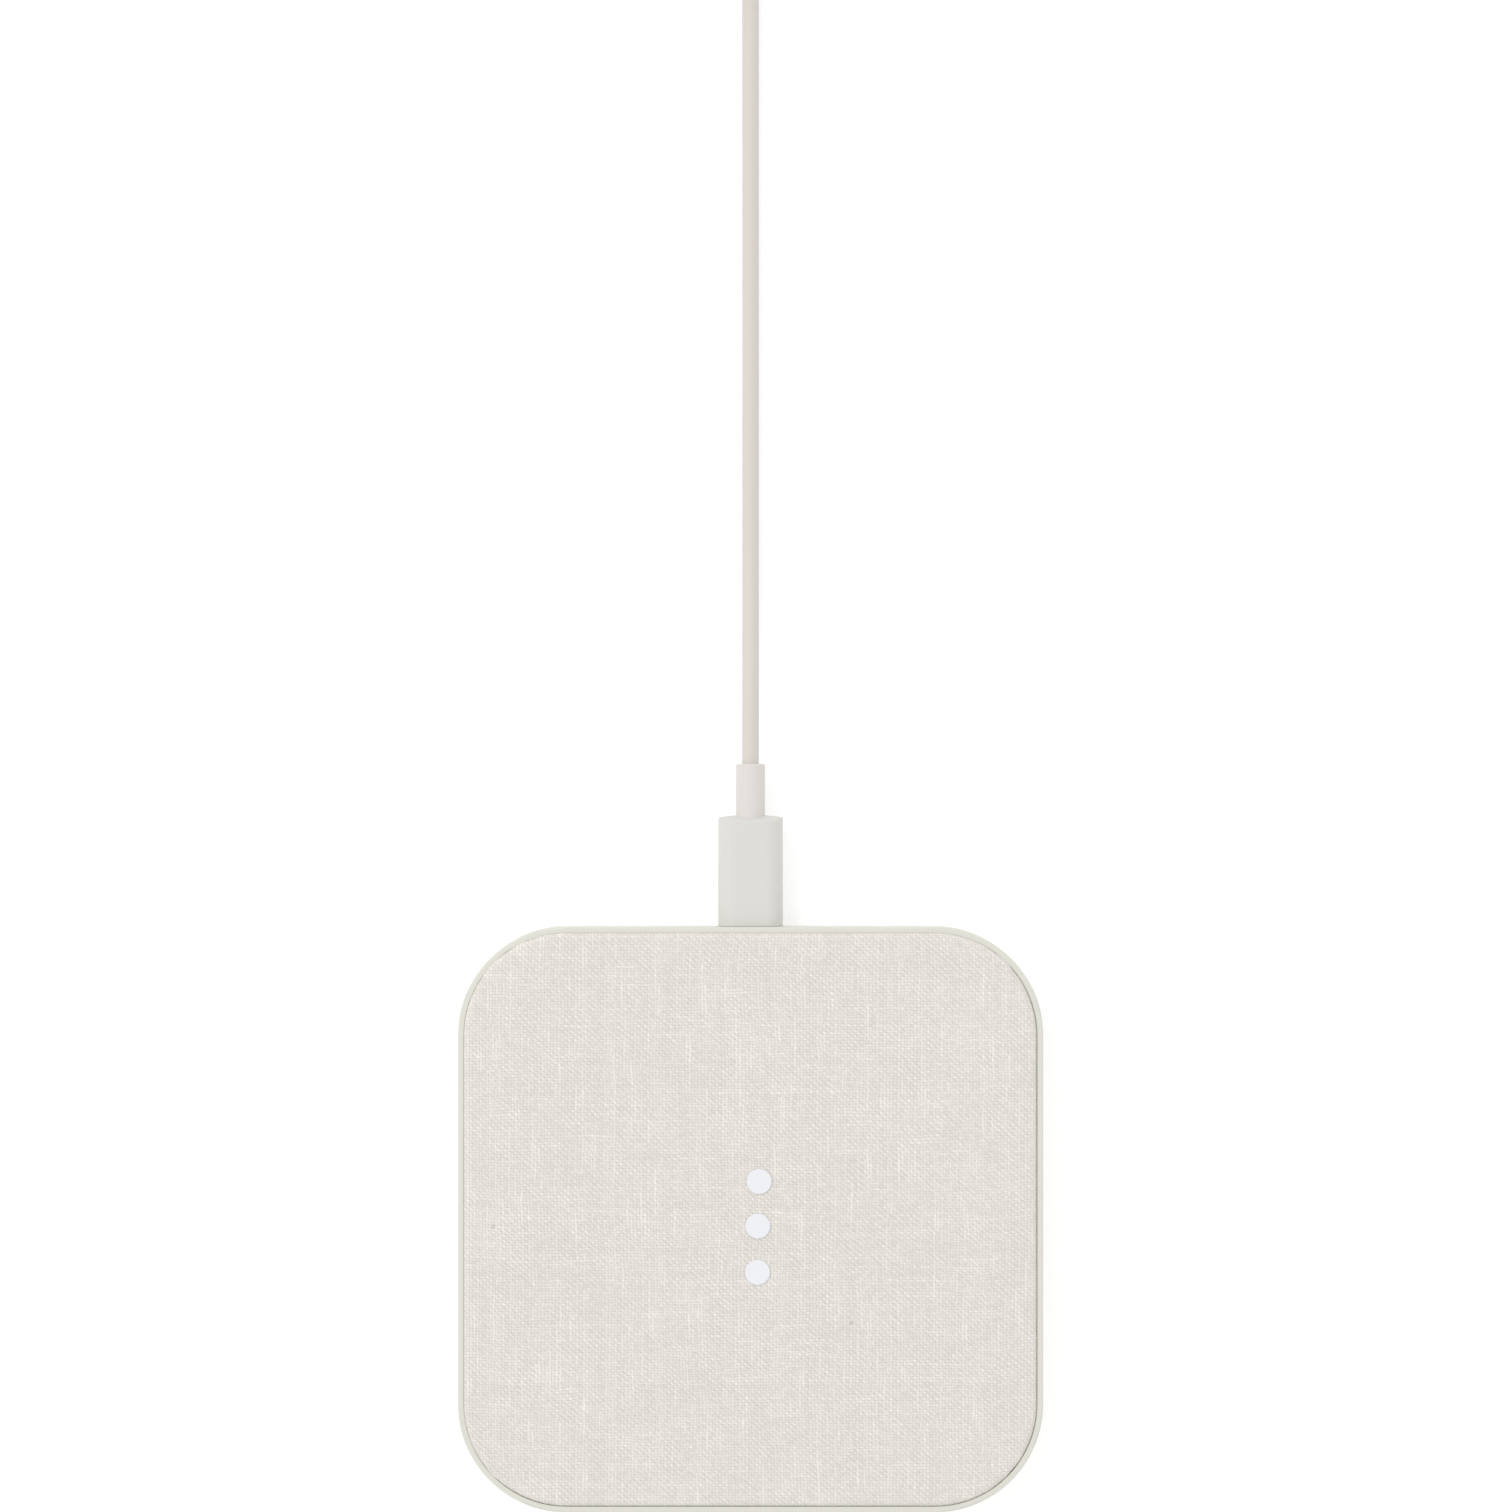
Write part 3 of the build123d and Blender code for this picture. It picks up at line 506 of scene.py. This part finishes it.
def tie_band(centre):
    """Closed band round the winding, at the side away from the cord."""
    across = centre[0] - WINDING_RADIUS
    wide = WINDING_COLUMNS * CORD_DIAMETER
    high = WINDING_LAYERS * CORD_DIAMETER
    deselect()
    bpy.ops.mesh.primitive_cube_add(size=1, location=(across, centre[1], TIE_THICKNESS + high / 2))
    bpy.context.object.scale = (wide + TIE_SLACK, TIE_WIDTH, high)
    band = name_new("tie_band")
    select_in(band, "FACE", lambda face: abs(face.normal.y) > 0.9)
    bpy.ops.mesh.delete(type="ONLY_FACE")

    def runs_across(edge):
        one, other = (band.data.vertices[end].co.y for end in edge.vertices)
        return abs(one - other) > TIE_WIDTH / 2

    select_in(band, "EDGE", runs_across)
    bpy.ops.mesh.bevel(offset=TIE_CORNER, segments=6)
    bpy.ops.object.mode_set(mode="OBJECT")
    wall = band.modifiers.new("wall", "SOLIDIFY")
    wall.thickness = TIE_THICKNESS
    wall.offset = 1.0
    edge = band.modifiers.new("edge", "BEVEL")
    edge.width = TIE_EDGE
    edge.segments = 2
    edge.limit_method = "ANGLE"
    apply_all(band)
    smooth(band)
    band.data.materials.append(finishes["tie"])
    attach(band, "cable")
    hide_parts("cord_tie")
    return band


# ---------------------------------------------------------------- linen

FLAT_SIDE = (linen_high.x - linen_low.x) - 2 * LINEN_EDGE_ROUND
CASE_RADIUS = 18.5 * MM
RIM_WIDTH = 1.0 * MM
FLAT_RADIUS = CASE_RADIUS - (RIM_WIDTH + LINEN_GAP) - LINEN_EDGE_ROUND
HOLD_WIDTH = 6.0 * MM          # beside the edge, where the threads run ever straighter


def linen_profile(tight):
    """Section of the linen from the flat face over the panel's edge to the hem and back on the inside.

    tight is 1 where the cloth is pressed up to the rim and 0 where a groove is left.
    Each entry is how far outwards, at what level, and how far along the cloth.
    """
    top, bottom = linen_high.z, linen_low.z
    wall = LINEN_EDGE_ROUND + LINEN_GAP - CLOTH_CLEARANCE
    open_reach = LINEN_EDGE_ROUND - GROOVE_EXTRA
    across = open_reach + tight * (wall - open_reach)
    down = LINEN_EDGE_ROUND - (ROLL_LIFT + ROLL_LIFT_TIGHT * tight)
    made = []
    for step in range(1, ROLL_STEPS + 1):
        turn = math.pi / 2 * step / ROLL_STEPS
        level = top - down * (1 - math.cos(turn))
        made.append((across * math.sin(turn), level, LINEN_EDGE_ROUND * turn))
    along = LINEN_EDGE_ROUND * math.pi / 2
    made.append((across + LIP_REACH * (wall - across), top - LIP_LEVEL, along + LIP_RUN))
    made.append((wall, top - SWELL_LEVEL, along + SWELL_RUN))
    fold = LINEN_THICKNESS
    side = top - SWELL_LEVEL - bottom - fold
    along += SWELL_RUN + side
    made.append((wall, bottom + fold, along))
    for step in range(1, FOLD_STEPS + 1):
        turn = math.pi / 2 * step / FOLD_STEPS
        out = wall - fold * (1 - math.cos(turn))
        made.append((out, bottom + fold * (1 - math.sin(turn)), along + fold * turn))
    along = made[-1][2] + LINEN_HEM - fold
    inner = LINEN_EDGE_ROUND - LINEN_THICKNESS
    half_way = 0.7               # out and up, in the middle of the inner roll
    made.append((LINEN_EDGE_ROUND - LINEN_HEM, bottom, along))
    made.append((LINEN_EDGE_ROUND - LINEN_HEM, bottom + LINEN_THICKNESS, along))
    made.append((inner, bottom + LINEN_THICKNESS, along - LINEN_HEM + LINEN_THICKNESS))
    made.append((inner, top - LINEN_EDGE_ROUND, along - LINEN_HEM - INNER_SIDE))
    up = top - LINEN_EDGE_ROUND + inner * half_way
    made.append((inner * half_way, up, LINEN_EDGE_ROUND * math.pi / 4))
    made.append((0, top - LINEN_THICKNESS, 0))
    return np.array(made)


def cut_side():
    """Side of the square that the cloth was cut to."""
    return FLAT_SIDE + 2 * linen_profile(0)[:, 2].max()


CUT_SIDE = cut_side()


def outline_normal(points, half, radius):
    """Outward direction of the rounded square at each point, and how far the point is from its outline."""
    core = half - radius
    away = points[:, :2] - np.clip(points[:, :2], -core, core)
    length = np.linalg.norm(away, axis=1)
    return away / np.maximum(length, 1e-9)[:, None], radius - length


def uneven_threads(places, half, pitch, seed):
    """How far threads of uneven thickness push each place on one axis."""
    count = round(2 * half / pitch)
    widths = 1 + THREAD_UNEVEN * np.random.default_rng(seed).normal(size=count)
    lines = np.concatenate([[0], np.cumsum(widths)])
    even = np.linspace(0, 1, count + 1)
    shift = (lines / lines[-1] - even) * 2 * half
    return np.interp(places, even * 2 * half - half, shift)


def linen():
    """Stretched plain-weave cloth: one face of the grid for each crossing of two threads."""
    half = FLAT_SIDE / 2
    columns = round(FLAT_SIDE / WARP_PITCH)
    rows = round(FLAT_SIDE / WEFT_PITCH)
    deselect()
    bpy.ops.mesh.primitive_grid_add(
        x_subdivisions=columns, y_subdivisions=rows, size=FLAT_SIDE, location=(0, 0, linen_high.z)
    )
    cloth = name_new("linen")
    core = half - FLAT_RADIUS

    def beyond_corner(face):
        across, along = abs(face.center.x) - core, abs(face.center.y) - core
        return across > 0 and along > 0 and math.hypot(across, along) > FLAT_RADIUS

    select_in(cloth, "FACE", beyond_corner)
    bpy.ops.mesh.delete(type="FACE")
    bpy.ops.object.mode_set(mode="OBJECT")
    mesh = cloth.data
    rim = sorted({vertex for pair in open_edges(mesh) for vertex in pair})
    points = points_of(mesh)
    normal, inside = outline_normal(points[rim], half, FLAT_RADIUS)
    points[rim, :2] += normal * inside[:, None]
    put_points(mesh, points)
    select_in(cloth, "FACE", lambda face: True)
    bpy.ops.mesh.poke(offset=WEAVE_RELIEF)
    bpy.ops.object.mode_set(mode="OBJECT")

    sway_per_metre, wander_per_metre, wave_per_metre = 55.0, 420.0, 90.0
    wave_height = 0.03 * MM
    points = points_of(mesh)
    flat = points[:, :2].copy()
    hold = np.clip((half - np.abs(flat).max(axis=1)) / HOLD_WIDTH, 0, 1)
    for axis, pitch, seed in ((0, WARP_PITCH, 3), (1, WEFT_PITCH, 4)):
        points[:, axis] += uneven_threads(flat[:, axis], half, pitch, seed) * hold
    for index, (x, y) in enumerate(flat):
        sway = noise.noise_vector(Vector((x, y, 0.03)) * sway_per_metre) * (2 * CLOTH_DRIFT)
        wander_at = Vector((x * wander_per_metre, y * wander_per_metre, 5.5))
        wander = noise.noise_vector(wander_at) * THREAD_WANDER
        wave = noise.noise(Vector((x * wave_per_metre, y * wave_per_metre, 7.7))) * wave_height
        points[index] += np.array((sway.x + wander.x, sway.y + wander.y, wave)) * hold[index]
    points[:, 2] -= WEAVE_RELIEF * 0.6   # so that crowns, not gaps, are at the face's level
    put_points(mesh, points)

    sheet_map = np.vstack([flat] + wrap_edge(cloth, half))
    layer = mesh.uv_layers.new(name="cloth")
    corner_vertex = np.zeros(len(mesh.loops), int)
    mesh.loops.foreach_get("vertex_index", corner_vertex)
    layer.data.foreach_set("uv", (sheet_map[corner_vertex] / CUT_SIDE + 0.5).ravel())
    take(cloth)
    bpy.ops.object.shade_smooth()
    mesh.materials.append(finishes["linen"])
    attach(cloth, "pad")
    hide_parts("linen_cover")


def how_tight(normal):
    """1 where the cloth is pressed up to the rim, at the back left, and 0 where it leaves a groove."""
    towards_back_left = (normal[:, 1] - normal[:, 0]) / math.sqrt(2)
    starts, span = -0.3, 0.9
    looser_at_sides = 0.15
    tight = np.clip((towards_back_left - starts) / span, 0, 1)[:, None]
    return tight * (1 - looser_at_sides * normal[:, :1] ** 2)


def wrap_edge(cloth, half):
    """Draws the cloth's edge over the panel, under it and back inside.

    Gives the place on the flat cloth of each ring of points that this adds.
    """
    mesh = cloth.data
    rim_edges = open_edges(mesh)
    select_in(cloth, "EDGE", lambda edge: tuple(sorted(edge.vertices)) in rim_edges)
    maps = []
    open_groove, closed_groove = linen_profile(0), linen_profile(1)
    base = None
    for step in range(len(open_groove)):
        bpy.ops.mesh.extrude_edges_move()
        bpy.ops.object.mode_set(mode="OBJECT")
        points = points_of(mesh)
        new = np.array([v.index for v in mesh.vertices if v.select])
        if base is None:
            base = points[new, :2].copy()
            normal, _ = outline_normal(base, half, FLAT_RADIUS)
            tight = how_tight(normal)
        outward, level, along = (open_groove[step] * (1 - tight) + closed_groove[step] * tight).T
        points[new, :2] = base + normal * outward[:, None]
        points[new, 2] = level
        put_points(mesh, points)
        maps.append(base + normal * along[:, None])
        bpy.ops.object.mode_set(mode="EDIT")
    bpy.ops.mesh.edge_face_add()
    bpy.ops.object.mode_set(mode="OBJECT")
    return maps


# ---------------------------------------------------------------- all finishes and the CAD pieces

finishes = {
    "case": moulded_plastic("ivory_case", (0.689, 0.681, 0.613), 0.42, 0.25, 0.004 * MM, 0.015),
    "foot": moulded_plastic("foot_rubber", (0.60, 0.59, 0.55), 0.75, 0.3, 0.02 * MM),
    "film": moulded_plastic("film", (0.80, 0.74, 0.58), 0.35, 0.5, 0.002 * MM),
    "panel": moulded_plastic("panel_plastic", (0.66, 0.65, 0.61), 0.5, 0.4, 0.01 * MM),
    "dots": moulded_plastic("dot_silicone", (0.785, 0.798, 0.830), 0.5, 0.2, 0.004 * MM, 0.01),
    "overmould": moulded_plastic("overmould", (0.660, 0.650, 0.618), 0.5, 0.22, 0.004 * MM, 0.015),
    "relief": moulded_plastic("relief_rubber", (0.683, 0.648, 0.620), 0.52, 0.22, 0.004 * MM, 0.015),
    "cord": moulded_plastic("cord_jacket", (0.638, 0.598, 0.554), 0.52, 0.3, 0.005 * MM, 0.02),
    "tie": moulded_plastic("tie_cloth", (0.62, 0.60, 0.55), 0.95, 0.25, 0.12 * MM),
    "sensor": moulded_plastic("sensor_glass", (0.45, 0.22, 0.08), 0.15, 0.5, 0.001 * MM),
    "steel": moulded_plastic("nickel", (0.62, 0.61, 0.59), 0.28, 0.1, 0.001 * MM, Metallic=1.0),
    "copper": moulded_plastic("copper_wire", (0.72, 0.33, 0.16), 0.35, 0.12, 0.03 * MM, Metallic=1.0),
    "ferrite": moulded_plastic("ferrite", (0.055, 0.053, 0.055), 0.6, 0.2, 0.01 * MM),
    "board": moulded_plastic("solder_mask", (0.02, 0.17, 0.07), 0.35, 0.8, 0.01 * MM, 0.15),
    "chips": moulded_plastic("chip_epoxy", (0.03, 0.03, 0.032), 0.55, 0.08, 0.005 * MM),
    "capacitors": moulded_plastic("capacitor_ceramic", (0.48, 0.34, 0.20), 0.5, 0.1, 0.004 * MM),
    "insulator": moulded_plastic("contact_carrier", (0.04, 0.04, 0.042), 0.5, 0.1, 0.003 * MM),
    "contacts": moulded_plastic("gold_plate", (0.85, 0.60, 0.22), 0.22, 0.1, 0.001 * MM, Metallic=1.0),
    "linen": linen_finish(),
}


def dress_cad_nodes():
    """Gives every CAD piece the finish of its slot."""
    slots = {entry["node"]: entry["material_slot"] for entry in frame["record"]["subparts"]}
    slots["usb_c_strain_relief"] = slots["usb_a_strain_relief"] = "relief"
    for node, piece in nodes.items():
        for place in piece.material_slots:
            place.material = finishes[slots[node]]


camera()
cord()
studio()
dress_cad_nodes()
linen()
